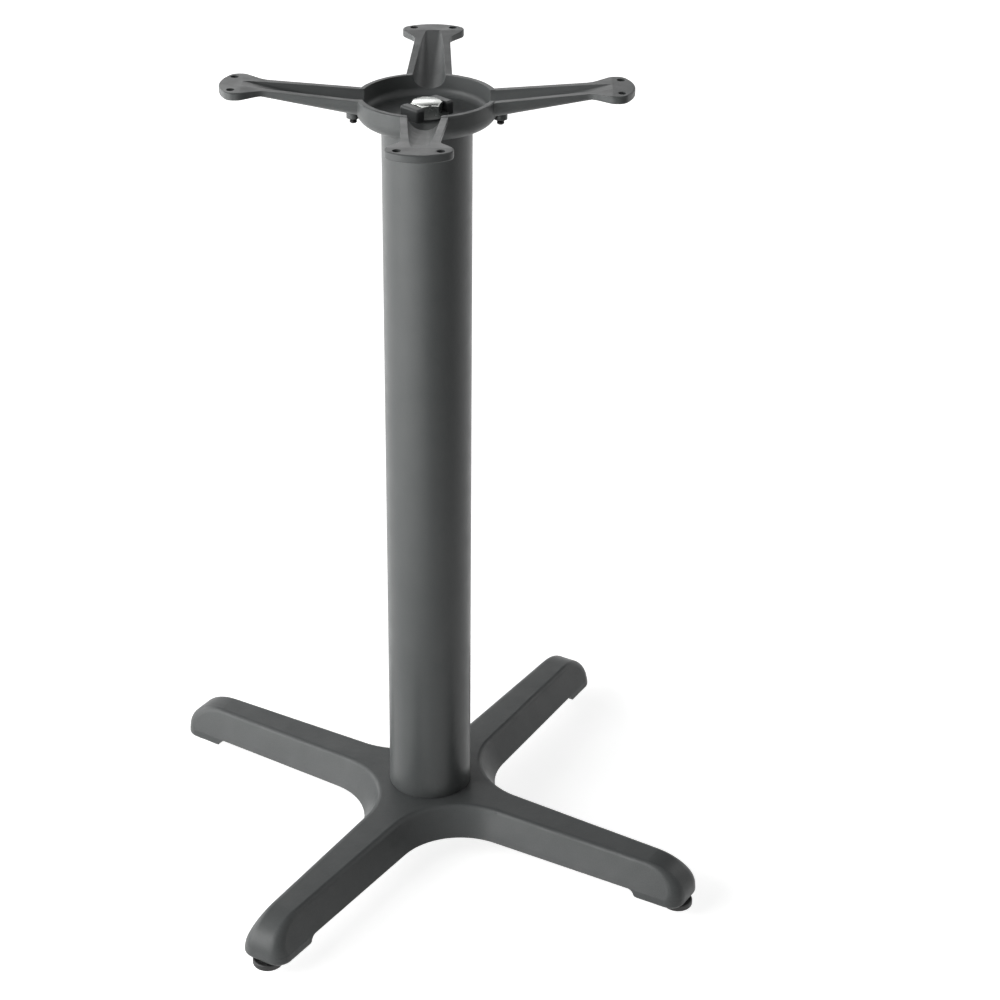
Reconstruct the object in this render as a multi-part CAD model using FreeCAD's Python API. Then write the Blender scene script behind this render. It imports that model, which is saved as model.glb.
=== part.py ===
"""Four-star pedestal table base: cast legs, tube column, cast spider, tie bolt and levelling glides.

Millimetres and degrees. Origin on the floor under the column, +Z up, X and Y along the spider's arms.
"""
import FreeCAD, Part
import math
import os

V = FreeCAD.Vector
UP = V(0, 0, 1)
ORIGIN = V(0, 0, 0)
ARMS = 4
FULL_TURN = 360.0
NEAR = 0.01

# Overall
table_face_height = 726.0
leg_reach = 277.5
leg_turn = 59.7

# Column tube
column_diameter = 76.2
column_wall = 1.6
spigot_clearance = 0.3
spigot_height = 9.0
spigot_wall = 7.0

# Base casting: drafted legs, wider at the skirt than at the top, blended into the hub by large webs
leg_top = 43.3
leg_arch = 16.0
foot_bottom = 8.0
root_distance = 90.0
root_top_width = 31.6
root_skirt_width = 56.4
tip_top_width = 24.6
tip_skirt_width = 44.8
web_top_radius = 70.0
web_skirt_radius = 62.0
nose_length = 38.0
leg_edge_radius = 5.0
tip_edge_radius = 14.0
foot_edge_radius = 3.0
foot_flare = 1.2
base_wall = 6.0
base_top_wall = 7.0
foot_length = 38.0
foot_ramp = 13.0
hub_thickness = 14.5
hub_boss_diameter = 66.0
rib_thickness = 5.0
rib_depth = 9.0

# Top spider: bowl ring
ring_diameter = 117.6
ring_wall = 4.8
rim_drop = 8.5
bowl_depth = 17.5
bowl_floor = 5.0
bowl_draft = 4.0
bowl_corner = 7.0
ring_corner = 12.0
rim_edge = 1.2

# Top spider: trough arms and screw flanges
arm_root_width = 38.4
arm_end_width = 28.6
arm_root_round = 0.9
arm_end_round = 0.45
arm_wall = 4.0
trough_root_width = 27.4
trough_end_width = 17.5
trough_root_flat = 1.6
trough_end_flat = 10.0
trough_setback = 19.0
trough_sill = 5.5
flange_reach = 171.3
flange_width = 53.6
flange_side = 9.6
flange_shoulder = 16.0
flange_end_radius = 42.0
flange_thickness = 6.5
flange_corner = 9.0
flange_root_corner = 14.0
flange_edge = 1.2
screw_hole_diameter = 7.0
screw_hole_inset = 11.3
screw_hole_spacing = 34.0

# Top spider: bolt seat, lugs and screw bosses
bolt_seat_height = 2.0
bolt_seat_diameter = 36.0
bolt_lug_turn = 45.0
bolt_lug_clearance = 1.2
bolt_lug_wall = 7.5
bolt_lug_width = 22.0
bolt_lug_height = 11.0
bolt_lug_edge = 2.2
boss_distance = 61.0
screw_boss_diameter = 11.5
screw_boss_drop = 5.4

# Tie bolt and its fasteners
bolt_diameter = 16.0
bolt_hole_clearance = 0.75
thread_clearance = 0.05
bolt_head_flats = 24.0
bolt_head_height = 10.0
bolt_end_chamfer = 1.5
hexagon_chamfer = 0.4
hexagon_chamfer_angle = 30.0
washer_diameter = 44.0
washer_thickness = 4.0
spring_washer_diameter = 27.4
spring_washer_thickness = 4.0
spring_washer_slit = 3.0
spring_washer_slit_angle = 35.0
nut_height = 13.0
bolt_overhang = 2.0

# Small screws under the arm roots
small_screw_diameter = 6.4
small_screw_grip = 6.0
small_screw_show = 4.5
small_screw_chamfer = 0.9
small_screw_socket = 3.2
small_screw_socket_depth = 3.0

# Levelling glides
glide_inset = 11.5
stud_diameter = 8.0
stud_clearance = 0.1
stud_engagement = 16.0
stud_hole_spare = 2.0
stud_collar_flats = 14.0
stud_head_diameter = 14.0
stud_head_height = 2.4
stud_neck_diameter = 9.0
collar_gap = 0.3
pad_diameter = 27.0
pad_height = 6.0
pad_floor = 1.6
pad_lip = 1.8
pad_clearance = 0.1
pad_edge = 1.4

# Levels and lengths that follow from the sizes above
rim_level = table_face_height - rim_drop
bowl_level = rim_level - bowl_depth
spider_seat = bowl_level - bowl_floor
bolt_seat_level = bowl_level + bolt_seat_height
column_bore = column_diameter - 2 * column_wall
spigot_diameter = column_bore - 2 * spigot_clearance
hub_seat = leg_top - hub_thickness
bolt_hole = bolt_diameter + 2 * bolt_hole_clearance
trough_end = flange_reach - trough_setback
screw_hole_station = flange_reach - screw_hole_inset
glide_station = leg_reach - glide_inset
leg_angles = [leg_turn + FULL_TURN / ARMS * leg for leg in range(ARMS)]
arm_angles = [FULL_TURN / ARMS * arm for arm in range(ARMS)]


def cylinder(diameter, bottom, top, x=0.0, y=0.0):
    """Upright cylinder between two levels."""
    return Part.makeCylinder(diameter / 2, top - bottom, V(x, y, bottom))


def turned(shape, angle):
    """Copy of a shape, turned about the column's axis."""
    copy = shape.copy()
    copy.rotate(ORIGIN, UP, angle)
    return copy


def all_round(shape, angles):
    """One turned copy of a shape for each angle."""
    return [turned(shape, angle) for angle in angles]


def arc_edge(start, through, end):
    """Circular arc through three points."""
    return Part.Arc(start, through, end).toShape()


def line_edge(start, end):
    """Straight edge."""
    return Part.LineSegment(start, end).toShape()


def face_inside(edges):
    """Face inside a closed chain of edges."""
    return Part.Face(Part.Wire(edges))


def turned_solid(points):
    """Solid of revolution about Z from (radius, level) corners."""
    corners = [V(radius, 0, level) for radius, level in points]
    outline = Part.Face(Part.makePolygon(corners + corners[:1]))
    return outline.revolve(ORIGIN, UP, FULL_TURN)


def hexagon_prism(across_flats, bottom, top, turn=0.0):
    """Upright hexagonal prism with a pair of flats facing the turn angle."""
    radius = across_flats / math.sqrt(3)
    corners = []
    for corner in range(7):
        angle = math.radians(turn + 30 + 60 * corner)
        corners.append(V(radius * math.cos(angle), radius * math.sin(angle), bottom))
    return Part.Face(Part.makePolygon(corners)).extrude(V(0, 0, top - bottom))


def hexagon_crown(across_flats, bottom, top, chamfer_below):
    """Turned blank that chamfers a hexagon's corners, above and, if asked, below."""
    inner = across_flats / 2 - hexagon_chamfer
    outer = across_flats / math.sqrt(3) + hexagon_chamfer
    rise = (outer - inner) * math.tan(math.radians(hexagon_chamfer_angle))
    points = [(0, bottom), (inner if chamfer_below else outer, bottom)]
    if chamfer_below:
        points.append((outer, bottom + rise))
    points += [(outer, top - rise), (inner, top), (0, top)]
    return turned_solid(points)


def between(top_value, skirt_value, level):
    """Value at a level of the leg's side, straight from its top edge to its skirt."""
    share = (leg_top - level) / (leg_top - leg_arch)
    return top_value + (skirt_value - top_value) * share


def star_outline(level, inset, reach):
    """Plan of the four legs at one level, moved in from the drafted sides by inset and cut off at reach."""
    root_half = between(root_top_width, root_skirt_width, level) / 2 - inset
    tip_half = between(tip_top_width, tip_skirt_width, level) / 2 - inset
    web = between(web_top_radius, web_skirt_radius, level) + inset
    slope = (tip_half - root_half) / (leg_reach - root_distance)
    offset = root_half - slope * root_distance
    end_half = offset + slope * reach
    normal = math.hypot(1, slope)
    centre = (web * normal + offset) / (1 - slope)
    tangent = V(centre + web * slope / normal, centre - web / normal, level)
    middle = centre - web / math.sqrt(2)
    edges = []
    for angle in leg_angles:
        corner_right = V(reach, -end_half, level)
        corner_left = V(reach, end_half, level)
        next_corner = V(end_half, reach, level)
        next_tangent = V(tangent.y, tangent.x, level)
        leg = [
            line_edge(corner_right, corner_left),
            line_edge(corner_left, tangent),
            arc_edge(tangent, V(middle, middle, level), next_tangent),
            line_edge(next_tangent, next_corner),
        ]
        edges += turned(Part.Compound(leg), angle).Edges
    return Part.Wire(Part.__sortEdges__(edges))


def star_loft(bottom, top, inset, reach):
    """Solid between two plans of the star."""
    return Part.makeLoft([star_outline(bottom, inset, reach), star_outline(top, inset, reach)], True, True)


def nose_cut():
    """Waste above the rounded nose of one leg along +X: a quarter ellipse from the top to the skirt."""
    start = leg_reach - nose_length
    side = -tip_skirt_width
    high = leg_top + nose_length
    spare = leg_reach + nose_length
    centre = V(start, side, leg_arch)
    crown = V(start, side, leg_top)
    toe = V(leg_reach, side, leg_arch)
    ellipse = Part.Ellipse(toe, crown, centre)
    corners = [toe, V(spare, side, leg_arch), V(spare, side, high), V(start, side, high), crown]
    edges = [Part.ArcOfEllipse(ellipse, 0, math.pi / 2).toShape()]
    edges += [line_edge(first, second) for first, second in zip(corners, corners[1:])]
    return face_inside(edges).extrude(V(0, 2 * tip_skirt_width, 0))


def arch_cut():
    """Waste under one leg along +X, ending in an S-shaped ramp down to the foot lug."""
    side = -root_distance
    lug = leg_reach - foot_length
    ramp = lug - foot_ramp
    rise = leg_arch - foot_bottom
    middle = V((lug + ramp) / 2, side, (leg_arch + foot_bottom) / 2)
    radius = (foot_ramp**2 + rise**2) / (4 * rise)
    bend = math.asin(foot_ramp / 2 / radius) / 2
    run = radius * math.sin(bend)
    drop = radius * (1 - math.cos(bend))
    upper_end = V(ramp, side, leg_arch)
    lower_end = V(lug, side, foot_bottom)
    corners = [lower_end, V(lug, side, 0), V(0, side, 0), V(0, side, leg_arch), upper_end]
    edges = [
        arc_edge(upper_end, V(ramp + run, side, leg_arch - drop), middle),
        arc_edge(middle, V(lug - run, side, foot_bottom + drop), lower_end),
    ]
    edges += [line_edge(first, second) for first, second in zip(corners, corners[1:])]
    return face_inside(edges).extrude(V(0, 2 * root_distance, 0))


def crown_radii(edge):
    """Blend radii at the two ends of an upper edge of the star, or None for any other edge."""
    first = edge.valueAt(edge.FirstParameter)
    last = edge.valueAt(edge.LastParameter)
    middle = edge.valueAt((edge.FirstParameter + edge.LastParameter) / 2)
    if min(first.z, middle.z, last.z) > leg_top - NEAR:
        across_leg = abs(math.hypot(middle.x, middle.y) - leg_reach + nose_length) < NEAR
        return None if across_leg else (leg_edge_radius, leg_edge_radius)
    on_nose = math.hypot(middle.x, middle.y) > leg_reach - nose_length
    if not on_nose or max(first.z, last.z) < leg_arch + NEAR:
        return None
    if first.z > last.z:
        return leg_edge_radius, tip_edge_radius
    return tip_edge_radius, leg_edge_radius


def blended(body):
    """Star with its upper edges rounded, the radius growing down each nose."""
    document = FreeCAD.newDocument("blend")
    source = document.addObject("Part::Feature", "source")
    source.Shape = body
    blend = document.addObject("Part::Fillet", "blend")
    blend.Base = source
    rows = [(number, crown_radii(edge)) for number, edge in enumerate(body.Edges, 1)]
    blend.Edges = [(number, radii[0], radii[1]) for number, radii in rows if radii]
    document.recompute()
    return blend.Shape.copy()


def foot_outline(level, flare):
    """Plan of one foot lug along +X, as wide as the leg's skirt plus a flare on each side."""
    back = leg_reach - foot_length - foot_ramp
    slope = (tip_skirt_width - root_skirt_width) / (leg_reach - root_distance)
    tip_half = tip_skirt_width / 2 + flare
    back_half = tip_half + slope * (back - leg_reach) / 2
    corners = [
        V(back, -back_half, level),
        V(leg_reach, -tip_half, level),
        V(leg_reach, tip_half, level),
        V(back, back_half, level),
    ]
    return Part.makePolygon(corners + corners[:1])


def foot_lug():
    """Lug under the tip of one leg along +X, with rounded corners and lower edges."""
    lug = Part.makeLoft([foot_outline(foot_bottom, foot_flare), foot_outline(leg_arch, 0.0)], True, True)
    ends = [edge for edge in lug.Edges if edge.BoundBox.XMin > leg_reach - NEAR]
    lug = lug.makeFillet(tip_edge_radius, [edge for edge in ends if edge.BoundBox.ZLength > NEAR])
    lower = [edge for edge in lug.Edges if edge.BoundBox.ZMax < foot_bottom + NEAR]
    back = leg_reach - foot_length - foot_ramp
    return lug.makeFillet(foot_edge_radius, [edge for edge in lower if edge.BoundBox.XMax > back + NEAR])


def spigot_ring(bottom, top):
    """Cast ring that centres the tube, between two levels."""
    inside = cylinder(spigot_diameter - 2 * spigot_wall, bottom, top)
    return cylinder(spigot_diameter, bottom, top).cut(inside)


def base_casting():
    """Star casting, hollow below, with hub boss, ribs, spigot and tapped foot lugs."""
    body = star_loft(leg_arch, leg_top, 0.0, leg_reach)
    body = blended(body.cut(all_round(nose_cut(), leg_angles)))
    body = body.multiFuse(all_round(foot_lug().cut(arch_cut()), leg_angles))

    ceiling = leg_top - base_top_wall
    hollow = star_loft(leg_arch, ceiling, base_wall, leg_reach - foot_length - foot_ramp)
    boss = cylinder(hub_boss_diameter, hub_seat, leg_top)
    rib_length = leg_reach - foot_length
    rib = Part.makeBox(rib_length, rib_thickness, rib_depth, V(0, -rib_thickness / 2, ceiling - rib_depth))
    spigot = spigot_ring(leg_top, leg_top + spigot_height)
    ribs = [part.cut(cylinder(hub_boss_diameter, 0, leg_top)) for part in all_round(rib, leg_angles)]
    body = body.cut(hollow).multiFuse(ribs + [boss, spigot])

    hole_top = foot_bottom + stud_engagement + stud_hole_spare
    stud_hole = cylinder(stud_diameter + 2 * stud_clearance, 0, hole_top, glide_station)
    body = body.cut([cylinder(bolt_hole, 0, leg_top)] + all_round(stud_hole, leg_angles))
    return body.removeSplitter()


def column_tube():
    """Plain round tube between the hub and the spider."""
    return cylinder(column_diameter, leg_top, spider_seat).cut(cylinder(column_bore, leg_top, spider_seat))


def channel_wire(station, width, top, floor, corner):
    """Closed section across an arm at one station: flat top, upright sides, rounded lower corners."""
    half = width / 2
    inner = half - corner
    bend = corner * math.sqrt(0.5)
    right = [V(station, half, top), V(station, half, floor + corner), V(station, inner, floor)]
    left = [V(station, -point.y, point.z) for point in right]
    knee_right = V(station, inner + bend, floor + corner - bend)
    knee_left = V(station, -knee_right.y, knee_right.z)
    return Part.Wire([
        line_edge(left[0], right[0]),
        line_edge(right[0], right[1]),
        arc_edge(right[1], knee_right, right[2]),
        line_edge(right[2], left[2]),
        arc_edge(left[2], knee_left, left[1]),
        line_edge(left[1], left[0]),
    ])


def along_arm(root_value, end_value, station):
    """Value at a station of the arm, straight from the ring to the trough's end."""
    share = (station - ring_diameter / 2) / (trough_end - ring_diameter / 2)
    return root_value + (end_value - root_value) * share


def trough_floor(station):
    """Level of the trough's floor, rising from a sill above the bowl to the table face."""
    sill_station = ring_diameter / 2 - ring_wall
    share = (station - sill_station) / (trough_end - sill_station)
    sill_level = bowl_level + trough_sill
    return sill_level + (table_face_height - sill_level) * share


def arm_body():
    """Outside of one trough arm along +X, from inside the ring to under the flange."""
    sections = []
    for station in (ring_diameter / 2 - ring_wall, trough_end):
        width = along_arm(arm_root_width, arm_end_width, station)
        top = along_arm(rim_level, table_face_height, station)
        floor = trough_floor(station) - arm_wall
        corner = (top - floor) * along_arm(arm_root_round, arm_end_round, station)
        sections.append(channel_wire(station, width, top, floor, corner))
    return Part.makeLoft(sections, True, True)


def arm_trough():
    """Hollow of one arm along +X, open to the bowl and running out in the flange's face."""
    high = table_face_height + trough_root_width
    sections = []
    for station in (ring_diameter / 2 - ring_wall - bowl_corner, (trough_end + flange_reach) / 2):
        width = along_arm(trough_root_width, trough_end_width, station)
        corner = (width - along_arm(trough_root_flat, trough_end_flat, station)) / 2
        sections.append(channel_wire(station, width, high, trough_floor(station), corner))
    return Part.makeLoft(sections, True, True)


def rim_wedge():
    """Waste above the sloping rims of one arm along +X, up to where they meet the table face."""
    start = ring_diameter / 2
    half = flange_width / 2
    corners = [
        V(start, -half, rim_level),
        V(trough_end, -half, table_face_height),
        V(start, -half, table_face_height),
    ]
    return Part.Face(Part.makePolygon(corners + corners[:1])).extrude(V(0, flange_width, 0))


def uprights_at(plate, station):
    """Upright edges of a plate at one station."""
    found = []
    for edge in plate.Edges:
        box = edge.BoundBox
        if box.XLength < NEAR and box.YLength < NEAR and abs(box.XMax - station) < NEAR:
            found.append(edge)
    return found


def screw_flange():
    """Flat end of one arm along +X: shoulders, two rounded lobes and a bulging end, without its holes."""
    half = flange_width / 2
    side_end = flange_reach - flange_end_radius + math.sqrt(flange_end_radius**2 - half**2)
    shoulder = side_end - flange_side
    root = shoulder - flange_shoulder
    start = root - flange_shoulder
    bottom = table_face_height - flange_thickness
    right = [
        V(start, along_arm(arm_root_width, arm_end_width, start) / 2, bottom),
        V(root, along_arm(arm_root_width, arm_end_width, root) / 2, bottom),
        V(shoulder, half, bottom),
        V(side_end, half, bottom),
    ]
    corners = [V(point.x, -point.y, point.z) for point in reversed(right)] + right
    edges = [line_edge(first, second) for first, second in zip(corners, corners[1:])]
    edges.append(arc_edge(corners[-1], V(flange_reach, 0, bottom), corners[0]))
    plate = face_inside(edges).extrude(V(0, 0, flange_thickness))
    plate = plate.makeFillet(flange_root_corner, uprights_at(plate, root))
    plate = plate.makeFillet(flange_corner, uprights_at(plate, shoulder) + uprights_at(plate, side_end))
    flat = [edge for edge in plate.Edges if edge.BoundBox.ZLength < NEAR]
    rims = [edge for edge in flat if edge.BoundBox.XMax > start + NEAR]
    return plate.makeFillet(flange_edge, rims).cut(rim_wedge())


def flange_holes():
    """The two screw holes of one flange along +X."""
    holes = []
    for side in (-0.5, 0.5):
        y = side * screw_hole_spacing
        holes.append(cylinder(screw_hole_diameter, spider_seat, table_face_height, screw_hole_station, y))
    return holes


def ring_blank():
    """Outside of the bowl ring: flat underside, rounded lower corner, rounded rim."""
    radius = ring_diameter / 2
    bend = math.sqrt(0.5)
    lower = V(radius - ring_corner, 0, spider_seat + ring_corner)
    upper = V(radius - rim_edge, 0, rim_level - rim_edge)
    edges = [
        line_edge(V(0, 0, spider_seat), V(lower.x, 0, spider_seat)),
        arc_edge(
            V(lower.x, 0, spider_seat),
            V(lower.x + ring_corner * bend, 0, lower.z - ring_corner * bend),
            V(radius, 0, lower.z),
        ),
        line_edge(V(radius, 0, lower.z), V(radius, 0, upper.z)),
        arc_edge(
            V(radius, 0, upper.z),
            V(upper.x + rim_edge * bend, 0, upper.z + rim_edge * bend),
            V(upper.x, 0, rim_level),
        ),
        line_edge(V(upper.x, 0, rim_level), V(0, 0, rim_level)),
        line_edge(V(0, 0, rim_level), V(0, 0, spider_seat)),
    ]
    return face_inside(edges).revolve(ORIGIN, UP, FULL_TURN)


def bowl_hollow():
    """Inside of the bowl: flat floor, rounded corner, drafted wall."""
    draft = math.radians(bowl_draft)
    rim_radius = ring_diameter / 2 - ring_wall
    high = table_face_height + rim_drop
    mouth_radius = rim_radius + (high - rim_level) * math.tan(draft)
    foot_radius = rim_radius - bowl_depth * math.tan(draft)
    setback = bowl_corner * math.tan((math.pi / 2 - draft) / 2)
    centre = V(foot_radius - setback, 0, bowl_level + bowl_corner)
    reach = bowl_corner * math.cos(draft)
    wall_point = V(centre.x + reach, 0, centre.z - bowl_corner * math.sin(draft))
    half_angle = math.radians(-45) - draft / 2
    knee = centre + V(math.cos(half_angle), 0, math.sin(half_angle)) * bowl_corner
    edges = [
        line_edge(V(0, 0, bowl_level), V(centre.x, 0, bowl_level)),
        arc_edge(V(centre.x, 0, bowl_level), knee, wall_point),
        line_edge(wall_point, V(mouth_radius, 0, high)),
        line_edge(V(mouth_radius, 0, high), V(0, 0, high)),
        line_edge(V(0, 0, high), V(0, 0, bowl_level)),
    ]
    return face_inside(edges).revolve(ORIGIN, UP, FULL_TURN)


def bolt_lug():
    """Upright lug beside one flat of the bolt head, facing +X."""
    inner = bolt_head_flats / 2 + bolt_lug_clearance
    corner = V(inner, -bolt_lug_width / 2, bowl_level)
    lug = Part.makeBox(bolt_lug_wall, bolt_lug_width, bolt_lug_height, corner)
    top = bowl_level + bolt_lug_height
    edges = []
    for edge in lug.Edges:
        box = edge.BoundBox
        if box.ZMax > top - NEAR and box.XMax > inner + NEAR:
            edges.append(edge)
    return lug.makeFillet(bolt_lug_edge, edges)


def screw_boss_level():
    """Underside of the screw bosses."""
    return trough_floor(boss_distance) - arm_wall - screw_boss_drop


def top_spider():
    """Cast spider: bowl ring, four trough arms with flanges, bolt seat, lugs, screw bosses and spigot."""
    boss_bottom = screw_boss_level()
    boss_top = trough_floor(boss_distance) - arm_wall / 2
    boss = cylinder(screw_boss_diameter, boss_bottom, boss_top, boss_distance)
    arm = arm_body().multiFuse([screw_flange(), boss])
    body = ring_blank().multiFuse(all_round(arm, arm_angles))
    body = body.cut([bowl_hollow()] + all_round(arm_trough(), arm_angles))

    seat = cylinder(bolt_seat_diameter, bowl_level - bowl_floor / 2, bolt_seat_level)
    spigot = spigot_ring(spider_seat - spigot_height, spider_seat)
    lugs = all_round(bolt_lug(), [bolt_lug_turn, bolt_lug_turn + 180])
    body = body.multiFuse([seat, spigot] + lugs)

    tapping = small_screw_diameter + 2 * thread_clearance
    screw_hole = cylinder(tapping, boss_bottom, boss_bottom + small_screw_grip, boss_distance)
    holes = [cylinder(bolt_hole, spider_seat, bolt_seat_level)] + all_round(screw_hole, arm_angles)
    for hole in flange_holes():
        holes += all_round(hole, arm_angles)
    return body.cut(holes).removeSplitter()


def tie_levels():
    """Undersides of washer, spring washer and nut, stacked down from the hub's seat, and the bolt's end."""
    washer = hub_seat - washer_thickness
    spring = washer - spring_washer_thickness
    nut = spring - nut_height
    return washer, spring, nut, nut - bolt_overhang


def tie_bolt():
    """Long bolt with a chamfered hexagonal head in the spider's bowl."""
    end = tie_levels()[3]
    head_top = bolt_seat_level + bolt_head_height
    head = hexagon_prism(bolt_head_flats, bolt_seat_level, head_top, bolt_lug_turn)
    head = head.common(hexagon_crown(bolt_head_flats, bolt_seat_level, head_top, False))
    radius = bolt_diameter / 2
    shank = turned_solid([
        (0, end),
        (radius - bolt_end_chamfer, end),
        (radius, end + bolt_end_chamfer),
        (radius, bolt_seat_level),
        (0, bolt_seat_level),
    ])
    return head.fuse(shank).removeSplitter()


def tie_washer():
    """Flat washer under the hub."""
    bottom = tie_levels()[0]
    return cylinder(washer_diameter, bottom, hub_seat).cut(cylinder(bolt_hole, bottom, hub_seat))


def tie_spring_washer():
    """Split lock washer, shown pressed flat."""
    top, bottom = tie_levels()[:2]
    ring = cylinder(spring_washer_diameter, bottom, top).cut(cylinder(bolt_hole, bottom, top))
    length = spring_washer_diameter
    slit = Part.makeBox(length, spring_washer_slit, length, V(0, -spring_washer_slit / 2, -length / 2))
    slit.rotate(ORIGIN, V(1, 0, 0), spring_washer_slit_angle)
    slit.translate(V(0, 0, (top + bottom) / 2))
    return ring.cut(slit)


def tie_nut():
    """Hexagonal nut, chamfered on both faces."""
    top, bottom = tie_levels()[1:3]
    nut = hexagon_prism(bolt_head_flats, bottom, top)
    nut = nut.common(hexagon_crown(bolt_head_flats, bottom, top, True))
    return nut.cut(cylinder(bolt_diameter + 2 * thread_clearance, bottom, top))


def spider_screws():
    """Four socket set screws in the blind bosses under the arm roots, ends showing below."""
    top = screw_boss_level() + small_screw_grip
    bottom = screw_boss_level() - small_screw_show
    radius = small_screw_diameter / 2
    tip = radius - small_screw_chamfer
    screw = turned_solid([
        (0, bottom),
        (tip, bottom),
        (radius, bottom + small_screw_chamfer),
        (radius, top),
        (0, top),
    ])
    screw = screw.cut(hexagon_prism(small_screw_socket, bottom, bottom + small_screw_socket_depth))
    screw.translate(V(boss_distance, 0, 0))
    return Part.Compound(all_round(screw, arm_angles))


def glide_stud(angle):
    """Threaded stud of one glide: shank, wrench collar, neck and the head that turns in the pad."""
    collar_top = foot_bottom - collar_gap
    head_top = pad_floor + pad_clearance + stud_head_height
    head = cylinder(stud_head_diameter, pad_floor + pad_clearance, head_top)
    neck = cylinder(stud_neck_diameter, head_top, pad_height + pad_clearance)
    collar = hexagon_prism(stud_collar_flats, pad_height + pad_clearance, collar_top)
    shank = cylinder(stud_diameter, collar_top, foot_bottom + stud_engagement)
    stud = head.multiFuse([neck, collar, shank]).removeSplitter()
    stud.translate(V(glide_station, 0, 0))
    return turned(stud, angle)


def glide_pad(angle):
    """Moulded pad of one glide, with the pocket that holds the stud's head."""
    pocket_top = pad_height - pad_lip
    pad = cylinder(pad_diameter, 0, pad_height)
    rims = [edge for edge in pad.Edges if edge.Closed]
    pad = pad.makeFillet(pad_edge, rims)
    pocket = cylinder(stud_head_diameter + 2 * pad_clearance, pad_floor, pocket_top)
    mouth = cylinder(stud_neck_diameter + 2 * pad_clearance, pocket_top, pad_height)
    pad = pad.cut([pocket, mouth])
    pad.translate(V(glide_station, 0, 0))
    return turned(pad, angle)


def main():
    """Build every piece and write one file for each."""
    os.makedirs("parts", exist_ok=True)
    nodes = {
        "base_casting": base_casting(),
        "column_tube": column_tube(),
        "top_spider": top_spider(),
        "tie_bolt": tie_bolt(),
        "tie_washer": tie_washer(),
        "tie_spring_washer": tie_spring_washer(),
        "tie_nut": tie_nut(),
        "spider_screws": spider_screws(),
    }
    for number, angle in enumerate(leg_angles, 1):
        nodes["glide_stud_%d" % number] = glide_stud(angle)
        nodes["glide_pad_%d" % number] = glide_pad(angle)
    for name, shape in nodes.items():
        shape.exportStep("parts/%s.step" % name)
        print(name, "solids", len(shape.Solids), "valid", shape.isValid(), "volume", round(shape.Volume))


main()
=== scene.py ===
"""Looks of the four star table base: coats, plating, threads, stage, light and camera.

Metres, in the same frame as the solids: origin on the floor under the column, +Z up.
"""
import math

import bmesh
import bpy
from mathutils import Matrix, Vector


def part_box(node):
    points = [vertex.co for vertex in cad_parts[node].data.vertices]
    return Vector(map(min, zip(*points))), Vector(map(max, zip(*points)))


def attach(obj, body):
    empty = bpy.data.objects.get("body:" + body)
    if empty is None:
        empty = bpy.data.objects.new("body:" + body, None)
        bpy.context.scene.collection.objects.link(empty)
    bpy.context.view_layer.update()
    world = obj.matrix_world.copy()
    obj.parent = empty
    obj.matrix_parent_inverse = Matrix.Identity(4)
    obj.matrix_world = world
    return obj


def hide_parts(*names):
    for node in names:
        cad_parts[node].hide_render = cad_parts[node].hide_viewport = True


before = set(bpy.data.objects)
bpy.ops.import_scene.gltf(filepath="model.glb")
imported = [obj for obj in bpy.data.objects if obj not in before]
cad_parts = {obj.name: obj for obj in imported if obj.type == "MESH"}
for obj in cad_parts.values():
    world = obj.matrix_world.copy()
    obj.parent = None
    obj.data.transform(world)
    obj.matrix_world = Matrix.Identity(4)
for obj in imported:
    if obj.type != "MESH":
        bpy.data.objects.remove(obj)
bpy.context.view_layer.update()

MM = 0.001
LEGS = (1, 2, 3, 4)
ARM_ANGLES = [math.radians(90.0 * arm) for arm in range(4)]

# Threaded pieces, with the sizes of the solids that they stand for
THREAD_ROWS = 6
STUD_SIDES = 48
STUD_RADIUS = 4.0 * MM
STUD_PITCH = 1.25 * MM
STUD_THREAD_DEPTH = 0.77 * MM
STUD_HEAD_RADIUS = 7.0 * MM
STUD_HEAD_HEIGHT = 2.4 * MM
STUD_NECK_RADIUS = 4.5 * MM
STUD_COLLAR_FLATS = 14.0 * MM
STUD_COLLAR_LEVELS = (6.1 * MM, 7.7 * MM)
STUD_END_CHAMFER = 0.7 * MM
BOLT_SIDES = 96
BOLT_RADIUS = 8.0 * MM
BOLT_PITCH = 2.0 * MM
BOLT_THREAD_DEPTH = 1.2 * MM
BOLT_THREAD_LENGTH = 60.0 * MM
BOLT_END_CHAMFER = 1.5 * MM
BOLT_HEAD_FLATS = 24.0 * MM
BOLT_HEAD_HEIGHT = 10.0 * MM
BOLT_HEAD_TURN = math.radians(45.0)
CROWN_INSET = 0.4 * MM
CROWN_ANGLE = math.radians(30.0)
CROWN_ROWS = 6
SCREW_SIDES = 48
SCREW_RADIUS = 3.2 * MM
SCREW_PITCH = 1.0 * MM
SCREW_THREAD_DEPTH = 0.6 * MM
SCREW_CHAMFER = 0.9 * MM
SCREW_SOCKET_FLATS = 3.2 * MM
SCREW_SOCKET_DEPTH = 3.0 * MM
SHARP_ANGLE = math.radians(35.0)

# Camera, as the photograph was taken: place, heading, tilt and lens
CAMERA_PLACE = Vector((0.0760, -1.9223, 1.3562))
CAMERA_HEADING = math.radians(1.65)
CAMERA_TILT_DOWN = math.radians(27.87)
CAMERA_SENSOR = 36.0
CAMERA_LENS = 87.43
CAMERA_SHIFT = (0.0482, 0.0013)

# Patterns of the finishes: features a metre, detail and, where it isn't plain, roughness.
# Noise stays near its middle, so one of two parts of its range is spread out.
NOISE_MIDDLE = (0.35, 0.65)
NOISE_MOST = (0.3, 0.7)

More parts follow.
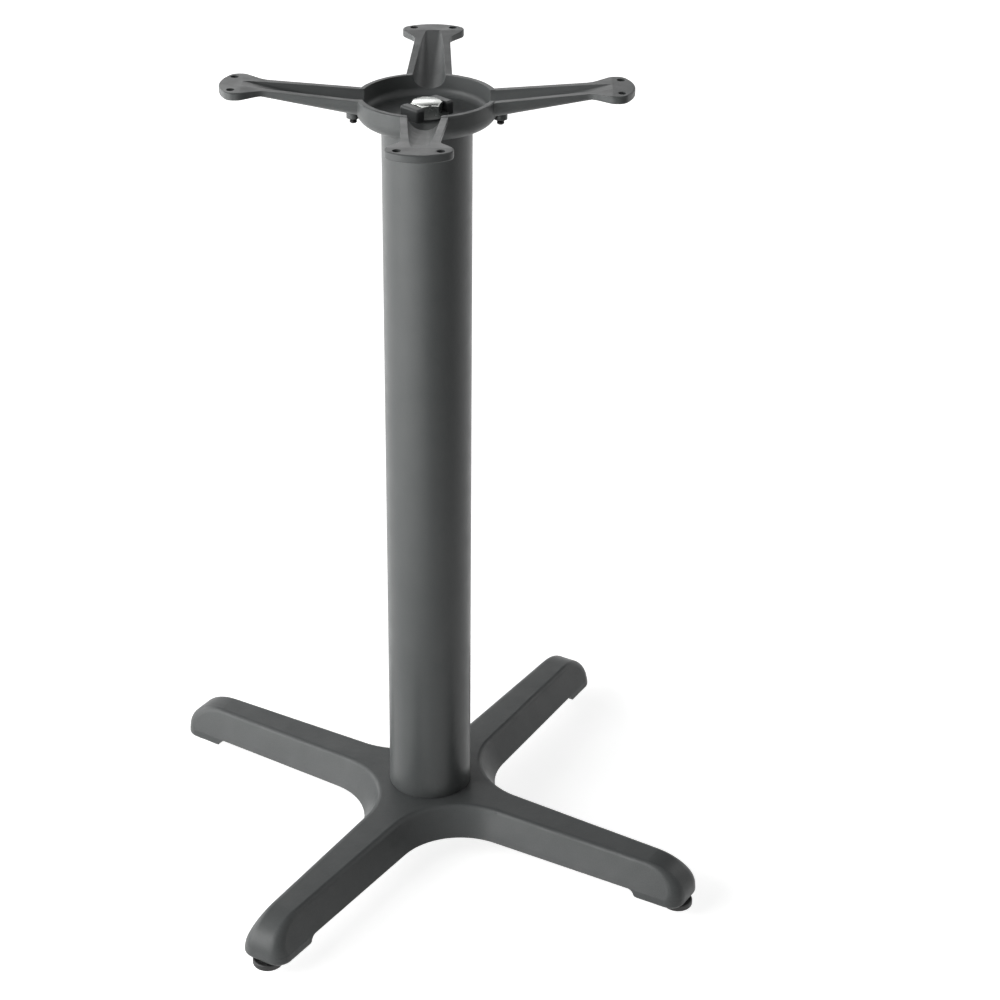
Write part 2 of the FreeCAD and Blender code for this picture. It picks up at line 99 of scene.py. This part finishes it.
# Powder coat on the castings and the tube
CAST_DARK = (0.0585, 0.0625, 0.063, 1.0)
CAST_LIGHT = (0.0695, 0.074, 0.0745, 1.0)
SPIDER_DARK = (0.072, 0.077, 0.077, 1.0)
SPIDER_LIGHT = (0.085, 0.090, 0.090, 1.0)
TUBE_DARK = (0.074, 0.079, 0.079, 1.0)
TUBE_LIGHT = (0.086, 0.091, 0.091, 1.0)
CAST_ROUGHNESS = (0.36, 0.48)
TUBE_ROUGHNESS = (0.32, 0.40)
CAST_WAVE_DEPTH = 0.25 * MM
TUBE_WAVE_DEPTH = 0.06 * MM
COAT_SPECULAR = 0.36
COAT_PATCHES = (16.0, 3.0)
COAT_GLOSS_PATCHES = (60.0, 4.0)
COAT_WAVES = (55.0, 2.0)
COAT_PEEL = (420.0, 1.0)
COAT_PEEL_DEPTH = 0.05 * MM
COAT_GRAIN = (1600.0, 2.0)
COAT_GRAIN_DEPTH = 0.02 * MM
COAT_FLECKS = (1400.0, 2.0)
COAT_FLECK_SHARE = 0.35
COAT_FLECK_COLOUR = (0.094, 0.099, 0.098, 1.0)
EDGE_ROUNDING = 0.8 * MM
EDGE_ROUNDING_SAMPLES = 8
# Painted highlight: lighter colour along convex and concave edges
PAINTED_EDGE_LIGHT = 1.0 * MM
PAINTED_EDGE_LIGHT_SAMPLES = 6
PAINTED_EDGE_LIGHT_AGREEMENT = (0.99, 0.80)
PAINTED_EDGE_LIGHT_SHARE = 0.45
PAINTED_EDGE_LIGHT_COLOUR = (0.150, 0.156, 0.155, 1.0)
# Painted shade: darker colour deep in corners and troughs
RECESS_REACH = 22.0 * MM
RECESS_SAMPLES = 8
RECESS_OPENNESS = (0.68, 0.25)
RECESS_SHADE_COLOUR = (0.032, 0.034, 0.035, 1.0)

# Zinc plate
ZINC_DULL = (0.73, 0.75, 0.73, 1.0)
ZINC_BRIGHT = (0.78, 0.80, 0.77, 1.0)
ZINC_ROUGHNESS = (0.22, 0.28)
ZINC_CLOUDS = (420.0, 4.0)
ZINC_GLOSS_PATCHES = (300.0, 3.0)
ZINC_MARKS = (1500.0, 2.0)
ZINC_MARK_DEPTH = 0.003 * MM

# Black oxide
OXIDE_BLACK = (0.012, 0.012, 0.013, 1.0)
OXIDE_BROWN = (0.035, 0.034, 0.033, 1.0)
OXIDE_ROUGHNESS = (0.30, 0.48)
OXIDE_METALLIC = 0.4
OXIDE_CLOUDS = (900.0, 3.0)
OXIDE_GLOSS_PATCHES = (1500.0, 3.0)
OXIDE_GRAIN = (3000.0, 2.0)
OXIDE_GRAIN_DEPTH = 0.02 * MM

# Moulded nylon
NYLON_BLACK = (0.010, 0.010, 0.010, 1.0)
NYLON_SCUFFED = (0.026, 0.026, 0.026, 1.0)
NYLON_ROUGHNESS = (0.46, 0.62)
NYLON_SCUFFS = (220.0, 5.0, 0.7)
NYLON_SCUFF_PART = (0.45, 0.75)
NYLON_GRAIN = (2600.0, 2.0)
NYLON_GRAIN_DEPTH = 0.03 * MM

# Floor, below the pads by the glides' travel. Its glow is for the camera and reflections.
FLOOR_HALF = 12.0
GLIDE_TRAVEL = 10.0 * MM
FLOOR_GAP = 0.2 * MM
FLOOR_COLOUR = (0.80, 0.80, 0.79)
FLOOR_CLOUDS = (1.5, 2.0)
FLOOR_TONE = (0.98, 1.0)
FLOOR_GLOW = (0.80, 1.0)
FLOOR_GLOW_REACH = (0.6, 2.2)
# Painted light and shade on the floor, seen only in reflections, brighter or darker: direction, degrees from
# edge to middle, change
FLOOR_PATCHES = [
    ((-0.68, -0.73, 0.0), (45.0, 18.0), 1.6),
    ((0.64, -0.77, 0.0), (52.0, 25.0), -0.6),
]
FLOOR_PATCH_REACH = (0.4, 1.1)

# Surround, white but for a dark gap overhead, and the fill that it gives
WHITE = (1.0, 1.0, 1.0, 1.0)
GAP_TOWARDS = (0.15, 0.58, 0.80)
GAP_DEGREES = (32.0, 12.0)
FILL_COLOUR = (0.92, 0.97, 1.0, 1.0)
FILL_STRENGTH = 0.045

# Soft boxes: name, place, aim, width, height, watts
LIGHTS = [
    ("key_left", (-2.60, -0.32, 1.30), (0.0, 0.0, 0.6), 2.2, 2.2, 52.0),
    ("side_left", (-2.30, 1.70, 1.10), (0.0, 0.0, 0.4), 1.6, 1.6, 22.0),
    ("front_left", (-1.93, -1.43, 1.25), (0.0, 0.0, 0.6), 1.4, 2.2, 41.0),
    ("back_low", (-0.45, 2.85, 1.63), (0.0, 0.0, 0.72), 1.2, 0.8, 4.0),
    ("rim_right", (2.30, 1.50, 1.40), (0.0, 0.0, 0.4), 0.8, 1.8, 6.5),
]


def add_node(tree, kind, inputs=None, **settings):
    """New node with its settings, and its inputs set to values or linked to other nodes' outputs."""
    made = tree.nodes.new(kind)
    for name, value in settings.items():
        setattr(made, name, value)
    for name, value in (inputs or {}).items():
        if isinstance(value, bpy.types.NodeSocket):
            tree.links.new(value, made.inputs[name])
        else:
            made.inputs[name].default_value = value
    return made


def new_material(name):
    """Node material with its tree and shader."""
    material = bpy.data.materials.new(name)
    material.use_nodes = True
    return material, material.node_tree, material.node_tree.nodes["Principled BSDF"]


def link_finish(tree, shader, colour, rough, normal):
    """Link a finish's colour, roughness and normal to its shader."""
    for name, value in (("Base Color", colour), ("Roughness", rough), ("Normal", normal)):
        tree.links.new(value, shader.inputs[name])


def object_place(tree):
    """Place on the object, in metres."""
    return add_node(tree, "ShaderNodeTexCoord").outputs["Object"]


def noise(tree, place, scale, detail, rough=0.5):
    """Noise value at a scale in features a metre."""
    made = add_node(tree, "ShaderNodeTexNoise", {
        "Vector": place, "Scale": scale, "Detail": detail, "Roughness": rough,
    })
    return made.outputs["Fac"]


def calculated(tree, operation, *values):
    """Result of a calculation on values."""
    return add_node(tree, "ShaderNodeMath", dict(enumerate(values)), operation=operation).outputs["Value"]


def agreement(tree, first, second):
    """Cosine of the angle between two unit vectors."""
    made = add_node(tree, "ShaderNodeVectorMath", {0: first, 1: second}, operation="DOT_PRODUCT")
    return made.outputs["Value"]


def ranged(tree, value, source, target=(0.0, 1.0)):
    """Value mapped from one range to another and kept inside it."""
    made = add_node(tree, "ShaderNodeMapRange", {
        "Value": value, "From Min": source[0], "From Max": source[1],
        "To Min": target[0], "To Max": target[1],
    })
    return made.outputs["Result"]


def mixed(tree, factor, first, second):
    """Colour between two colours."""
    made = add_node(tree, "ShaderNodeMix", data_type="RGBA")
    for socket, value in (("Factor_Float", factor), ("A_Color", first), ("B_Color", second)):
        target = next(item for item in made.inputs if item.identifier == socket)
        if isinstance(value, bpy.types.NodeSocket):
            tree.links.new(value, target)
        else:
            target.default_value = value
    return next(item for item in made.outputs if item.identifier == "Result_Color")


def bumped(tree, height, depth, under=None):
    """Normal with a height pattern on it, over another normal if one is given."""
    inputs = {"Height": height, "Distance": depth, "Strength": 1.0}
    if under is not None:
        inputs["Normal"] = under
    return add_node(tree, "ShaderNodeBump", inputs).outputs["Normal"]


def rounded(tree, radius, samples):
    """Normal that is rounded near edges."""
    return add_node(tree, "ShaderNodeBevel", {"Radius": radius}, samples=samples).outputs["Normal"]


def painted_edge_light(tree):
    """Painted highlight mask on convex and concave edges, none on flat faces."""
    true = add_node(tree, "ShaderNodeNewGeometry").outputs["Normal"]
    agree = agreement(tree, rounded(tree, PAINTED_EDGE_LIGHT, PAINTED_EDGE_LIGHT_SAMPLES), true)
    return ranged(tree, agree, PAINTED_EDGE_LIGHT_AGREEMENT, (0.0, PAINTED_EDGE_LIGHT_SHARE))


def recess_shade(tree):
    """Painted shade mask: one deep in corners and troughs, zero in the open."""
    inputs = {"Distance": RECESS_REACH}
    openness = add_node(tree, "ShaderNodeAmbientOcclusion", inputs, samples=RECESS_SAMPLES).outputs["AO"]
    return ranged(tree, openness, RECESS_OPENNESS)


def powder_coat(name, dark, light, wave_depth, roughness):
    """Satin charcoal powder coat: fine orange peel over a wavy casting or a plain tube."""
    material, tree, shader = new_material(name)
    place = object_place(tree)
    patches = ranged(tree, noise(tree, place, *COAT_PATCHES), NOISE_MIDDLE)
    flecks = ranged(tree, noise(tree, place, *COAT_FLECKS), NOISE_MIDDLE, (0.0, COAT_FLECK_SHARE))
    colour = mixed(tree, patches, dark, light)
    colour = mixed(tree, flecks, colour, COAT_FLECK_COLOUR)
    # Painted highlight: lighter colour along the edges
    colour = mixed(tree, painted_edge_light(tree), colour, PAINTED_EDGE_LIGHT_COLOUR)
    # Painted shade: darker colour deep in corners and troughs
    colour = mixed(tree, recess_shade(tree), colour, RECESS_SHADE_COLOUR)
    rough = ranged(tree, noise(tree, place, *COAT_GLOSS_PATCHES), NOISE_MOST, roughness)
    normal = rounded(tree, EDGE_ROUNDING, EDGE_ROUNDING_SAMPLES)
    normal = bumped(tree, noise(tree, place, *COAT_WAVES), wave_depth, normal)
    normal = bumped(tree, noise(tree, place, *COAT_PEEL), COAT_PEEL_DEPTH, normal)
    normal = bumped(tree, noise(tree, place, *COAT_GRAIN), COAT_GRAIN_DEPTH, normal)
    link_finish(tree, shader, colour, rough, normal)
    shader.inputs["Specular IOR Level"].default_value = COAT_SPECULAR
    return material


def zinc_plate(name):
    """Bright zinc plate with fine rolling marks and cloudy patches."""
    material, tree, shader = new_material(name)
    place = object_place(tree)
    clouds = ranged(tree, noise(tree, place, *ZINC_CLOUDS), NOISE_MOST)
    colour = mixed(tree, clouds, ZINC_DULL, ZINC_BRIGHT)
    rough = ranged(tree, noise(tree, place, *ZINC_GLOSS_PATCHES), NOISE_MOST, ZINC_ROUGHNESS)
    normal = bumped(tree, noise(tree, place, *ZINC_MARKS), ZINC_MARK_DEPTH)
    link_finish(tree, shader, colour, rough, normal)
    shader.inputs["Metallic"].default_value = 1.0
    return material


def black_oxide(name):
    """Oiled black oxide on a turned screw."""
    material, tree, shader = new_material(name)
    place = object_place(tree)
    colour = mixed(tree, noise(tree, place, *OXIDE_CLOUDS), OXIDE_BLACK, OXIDE_BROWN)
    rough = ranged(tree, noise(tree, place, *OXIDE_GLOSS_PATCHES), NOISE_MOST, OXIDE_ROUGHNESS)
    normal = bumped(tree, noise(tree, place, *OXIDE_GRAIN), OXIDE_GRAIN_DEPTH)
    link_finish(tree, shader, colour, rough, normal)
    shader.inputs["Metallic"].default_value = OXIDE_METALLIC
    return material


def moulded_nylon(name):
    """Matte black nylon with a fine moulded grain and scuffs."""
    material, tree, shader = new_material(name)
    place = object_place(tree)
    scuffs = ranged(tree, noise(tree, place, *NYLON_SCUFFS), NYLON_SCUFF_PART)
    colour = mixed(tree, scuffs, NYLON_BLACK, NYLON_SCUFFED)
    rough = ranged(tree, scuffs, (0.0, 1.0), NYLON_ROUGHNESS)
    normal = bumped(tree, noise(tree, place, *NYLON_GRAIN), NYLON_GRAIN_DEPTH)
    link_finish(tree, shader, colour, rough, normal)
    return material


def dress_nodes(cast, spider, tube, zinc, oxide, nylon):
    """Give every solid its finish."""
    finishes = {
        "base_casting": cast,
        "top_spider": spider,
        "column_tube": tube,
        "spider_screws": oxide,
    }
    for name in ("tie_bolt", "tie_washer", "tie_spring_washer", "tie_nut"):
        finishes[name] = zinc
    for leg in LEGS:
        finishes["glide_stud_%d" % leg] = zinc
        finishes["glide_pad_%d" % leg] = nylon
    for name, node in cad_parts.items():
        node.data.materials.clear()
        node.data.materials.append(finishes[name])


def round_section(radius):
    """Section of one radius all round."""
    return lambda angle: radius


def hexagon_section(across_flats, turn=0.0):
    """Hexagonal section with a pair of flats facing the turn angle."""
    sixth = math.pi / 3
    return lambda angle: across_flats / 2 / math.cos((angle - turn + sixth / 2) % sixth - sixth / 2)


def crown_section(across_flats, turn, radius):
    """Hexagonal section cut back to a radius at its corners."""
    hexagon = hexagon_section(across_flats, turn)
    return lambda angle: min(hexagon(angle), radius)


def thread_section(radius, pitch, depth, level):
    """Section across a right-hand thread at one level."""
    def section(angle):
        share = (level / pitch - angle / (2 * math.pi)) % 1.0
        return radius - depth * (1.0 - abs(2.0 * share - 1.0))
    return section


def thread_rings(radius, pitch, depth, low, high):
    """Rings of a thread between two levels, its groove running out over one pitch at each end."""
    rows = round((high - low) / pitch * THREAD_ROWS)
    rings = []
    for row in range(rows + 1):
        level = low + (high - low) * row / rows
        share = max(0.0, min(1.0, (level - low) / pitch, (high - level) / pitch))
        rings.append((level, thread_section(radius, pitch, depth * share, level)))
    return rings


def add_stack(mesh, rings, sides, place):
    """Closed stack of rings, each a level and its section, added to an open mesh at a place."""
    loops = []
    for level, section in rings:
        loop = []
        for side in range(sides):
            angle = 2 * math.pi * side / sides
            radius = section(angle)
            point = Vector((radius * math.cos(angle), radius * math.sin(angle), level))
            loop.append(mesh.verts.new(place @ point))
        loops.append(loop)
    for lower, upper in zip(loops, loops[1:]):
        for side in range(sides):
            after = (side + 1) % sides
            mesh.faces.new((lower[side], lower[after], upper[after], upper[side]))
    mesh.faces.new(reversed(loops[0]))
    mesh.faces.new(loops[-1])


def finish_piece(mesh, name, body, node, material):
    """Object from an open mesh, smooth between its sharp edges, standing for a solid on its body."""
    bmesh.ops.recalc_face_normals(mesh, faces=mesh.faces)
    data = bpy.data.meshes.new(name)
    mesh.to_mesh(data)
    mesh.free()
    data.shade_smooth()
    data.set_sharp_from_angle(angle=SHARP_ANGLE)
    data.materials.append(material)
    piece = bpy.data.objects.new(name, data)
    bpy.context.scene.collection.objects.link(piece)
    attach(piece, body)
    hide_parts(node)


def build_glide_stud(leg, zinc):
    """Levelling stud of one leg with its thread cut in."""
    node = "glide_stud_%d" % leg
    low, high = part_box(node)
    x, y = (low[0] + high[0]) / 2, (low[1] + high[1]) / 2
    head_top = low[2] + STUD_HEAD_HEIGHT
    collar_low, collar_high = STUD_COLLAR_LEVELS
    rings = [
        (low[2], round_section(STUD_HEAD_RADIUS)),
        (head_top, round_section(STUD_HEAD_RADIUS)),
        (head_top, round_section(STUD_NECK_RADIUS)),
        (collar_low, round_section(STUD_NECK_RADIUS)),
        (collar_low, hexagon_section(STUD_COLLAR_FLATS)),
        (collar_high, hexagon_section(STUD_COLLAR_FLATS)),
    ]
    rings += thread_rings(STUD_RADIUS, STUD_PITCH, STUD_THREAD_DEPTH, collar_high, high[2] - STUD_END_CHAMFER)
    rings.append((high[2], round_section(STUD_RADIUS - STUD_END_CHAMFER)))
    mesh = bmesh.new()
    place = Matrix.Translation((x, y, 0.0)) @ Matrix.Rotation(math.atan2(y, x), 4, "Z")
    add_stack(mesh, rings, STUD_SIDES, place)
    finish_piece(mesh, "threaded_stud_%d" % leg, "stud_%d" % leg, node, zinc)


def build_tie_bolt(zinc):
    """Tie bolt with its thread cut in and its head's corners chamfered."""
    low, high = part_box("tie_bolt")
    seat = high[2] - BOLT_HEAD_HEIGHT
    thread_low = low[2] + BOLT_END_CHAMFER
    inner = BOLT_HEAD_FLATS / 2 - CROWN_INSET
    outer = BOLT_HEAD_FLATS / math.sqrt(3) + CROWN_INSET
    rise = (outer - inner) * math.tan(CROWN_ANGLE)
    rings = [(low[2], round_section(BOLT_RADIUS - BOLT_END_CHAMFER))]
    rings += thread_rings(
        BOLT_RADIUS, BOLT_PITCH, BOLT_THREAD_DEPTH, thread_low, thread_low + BOLT_THREAD_LENGTH
    )
    rings.append((seat, round_section(BOLT_RADIUS)))
    rings.append((seat, hexagon_section(BOLT_HEAD_FLATS, BOLT_HEAD_TURN)))
    for row in range(CROWN_ROWS + 1):
        share = row / CROWN_ROWS
        radius = outer + (inner - outer) * share
        level = high[2] - rise * (1.0 - share)
        rings.append((level, crown_section(BOLT_HEAD_FLATS, BOLT_HEAD_TURN, radius)))
    mesh = bmesh.new()
    add_stack(mesh, rings, BOLT_SIDES, Matrix.Identity(4))
    finish_piece(mesh, "threaded_tie_bolt", "frame", "tie_bolt", zinc)


def build_spider_screws(oxide):
    """Four socket set screws with their threads cut in."""
    low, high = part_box("spider_screws")
    distance = high[0] - SCREW_RADIUS
    bottom, top = low[2], high[2]
    socket = hexagon_section(SCREW_SOCKET_FLATS)
    rings = [
        (bottom + SCREW_SOCKET_DEPTH, socket),
        (bottom, socket),
        (bottom, round_section(SCREW_RADIUS - SCREW_CHAMFER)),
    ]
    rings += thread_rings(SCREW_RADIUS, SCREW_PITCH, SCREW_THREAD_DEPTH, bottom + SCREW_CHAMFER, top)
    mesh = bmesh.new()
    for angle in ARM_ANGLES:
        place = Matrix.Rotation(angle, 4, "Z") @ Matrix.Translation((distance, 0.0, 0.0))
        add_stack(mesh, rings, SCREW_SIDES, place)
    finish_piece(mesh, "threaded_spider_screws", "frame", "spider_screws", oxide)


def cosines(degrees):
    """Cosines of a pair of angles in degrees."""
    return [math.cos(math.radians(angle)) for angle in degrees]


def shown_as_background(tree):
    """One for rays that show the background: from the camera, a reflection or a transmission."""
    path = add_node(tree, "ShaderNodeLightPath").outputs
    seen = calculated(tree, "MAXIMUM", path["Is Camera Ray"], path["Is Glossy Ray"])
    return calculated(tree, "MAXIMUM", seen, path["Is Transmission Ray"])


def painted_patches_reflected(tree, place, distance):
    """Level of the floor's painted light and shade patches in reflections, one where the floor is plain and
    for the camera.
    """
    towards = add_node(tree, "ShaderNodeVectorMath", {0: place}, operation="NORMALIZE").outputs["Vector"]
    change = 0.0
    for direction, degrees, most in FLOOR_PATCHES:
        patch = ranged(tree, agreement(tree, towards, direction), cosines(degrees), (0.0, most))
        change = calculated(tree, "ADD", change, patch)
    reach = ranged(tree, distance, FLOOR_PATCH_REACH)
    level = calculated(tree, "MULTIPLY_ADD", change, reach, 1.0)
    camera = add_node(tree, "ShaderNodeLightPath").outputs["Is Camera Ray"]
    return ranged(tree, camera, (0.0, 1.0), (level, 1.0))


def floor_material():
    """Pale floor that shows white and keeps the shadow."""
    material = bpy.data.materials.new("pale_floor")
    material.use_nodes = True
    tree = material.node_tree
    tree.nodes.clear()
    place = object_place(tree)
    tone = ranged(tree, noise(tree, place, *FLOOR_CLOUDS), NOISE_MOST, FLOOR_TONE)
    colour = add_node(tree, "ShaderNodeVectorMath", {0: FLOOR_COLOUR, "Scale": tone}, operation="SCALE")
    diffuse = add_node(tree, "ShaderNodeBsdfDiffuse", {"Color": colour.outputs["Vector"]})
    distance = add_node(tree, "ShaderNodeVectorMath", {0: place}, operation="LENGTH").outputs["Value"]
    level = ranged(tree, distance, FLOOR_GLOW_REACH, FLOOR_GLOW)
    # Painted reflection: the floor's glow is raised and lowered in patches, for reflections only
    level = calculated(tree, "MULTIPLY", level, painted_patches_reflected(tree, place, distance))
    strength = calculated(tree, "MULTIPLY", level, shown_as_background(tree))
    glow = add_node(tree, "ShaderNodeEmission", {"Color": WHITE, "Strength": strength})
    both = add_node(tree, "ShaderNodeAddShader", {0: diffuse.outputs["BSDF"], 1: glow.outputs["Emission"]})
    add_node(tree, "ShaderNodeOutputMaterial", {"Surface": both.outputs["Shader"]})
    return material


def build_floor():
    """Plain pale floor, low enough for the glides at their full travel."""
    half, level = FLOOR_HALF, -GLIDE_TRAVEL - FLOOR_GAP
    corners = [(-half, -half, level), (half, -half, level), (half, half, level), (-half, half, level)]
    mesh = bpy.data.meshes.new("floor")
    mesh.from_pydata(corners, [], [(0, 1, 2, 3)])
    floor = bpy.data.objects.new("floor", mesh)
    bpy.context.scene.collection.objects.link(floor)
    mesh.materials.append(floor_material())


def build_world():
    """White surround for the camera and reflections, with a gap overhead, and plain fill for the rest."""
    world = bpy.data.worlds.new("studio")
    world.use_nodes = True
    tree = world.node_tree
    tree.nodes.clear()
    towards = add_node(tree, "ShaderNodeTexCoord").outputs["Generated"]
    level = ranged(tree, agreement(tree, towards, GAP_TOWARDS), cosines(GAP_DEGREES), (1.0, 0.0))
    white = add_node(tree, "ShaderNodeBackground", {"Color": WHITE, "Strength": level})
    fill = add_node(tree, "ShaderNodeBackground", {"Color": FILL_COLOUR, "Strength": FILL_STRENGTH})
    both = add_node(tree, "ShaderNodeMixShader", {
        "Fac": shown_as_background(tree), 1: fill.outputs["Background"], 2: white.outputs["Background"],
    })
    add_node(tree, "ShaderNodeOutputWorld", {"Surface": both.outputs["Shader"]})
    bpy.context.scene.world = world


def build_lights():
    """Soft boxes round the object."""
    for name, place, aim, width, height, watts in LIGHTS:
        data = bpy.data.lights.new(name, "AREA")
        data.shape = "RECTANGLE"
        data.size = width
        data.size_y = height
        data.energy = watts
        light = bpy.data.objects.new(name, data)
        light.location = place
        light.rotation_euler = (Vector(aim) - Vector(place)).to_track_quat("-Z", "Y").to_euler()
        bpy.context.scene.collection.objects.link(light)


def build_camera():
    """Camera at the photograph's viewing angle."""
    data = bpy.data.cameras.new("camera")
    data.sensor_width = CAMERA_SENSOR
    data.lens = CAMERA_LENS
    data.shift_x, data.shift_y = CAMERA_SHIFT
    camera = bpy.data.objects.new("camera", data)
    camera.location = CAMERA_PLACE
    camera.rotation_euler = (math.pi / 2 - CAMERA_TILT_DOWN, 0.0, CAMERA_HEADING)
    bpy.context.scene.collection.objects.link(camera)
    bpy.context.scene.camera = camera


bpy.context.scene.view_settings.view_transform = "Standard"
zinc_finish = zinc_plate("zinc_plate")
oxide_finish = black_oxide("black_oxide")
dress_nodes(
    powder_coat("coat_on_casting", CAST_DARK, CAST_LIGHT, CAST_WAVE_DEPTH, CAST_ROUGHNESS),
    powder_coat("coat_on_spider", SPIDER_DARK, SPIDER_LIGHT, CAST_WAVE_DEPTH, CAST_ROUGHNESS),
    powder_coat("coat_on_tube", TUBE_DARK, TUBE_LIGHT, TUBE_WAVE_DEPTH, TUBE_ROUGHNESS),
    zinc_finish,
    oxide_finish,
    moulded_nylon("moulded_nylon"),
)
build_tie_bolt(zinc_finish)
build_spider_screws(oxide_finish)
for leg_number in LEGS:
    build_glide_stud(leg_number, zinc_finish)
build_floor()
build_world()
build_lights()
build_camera()
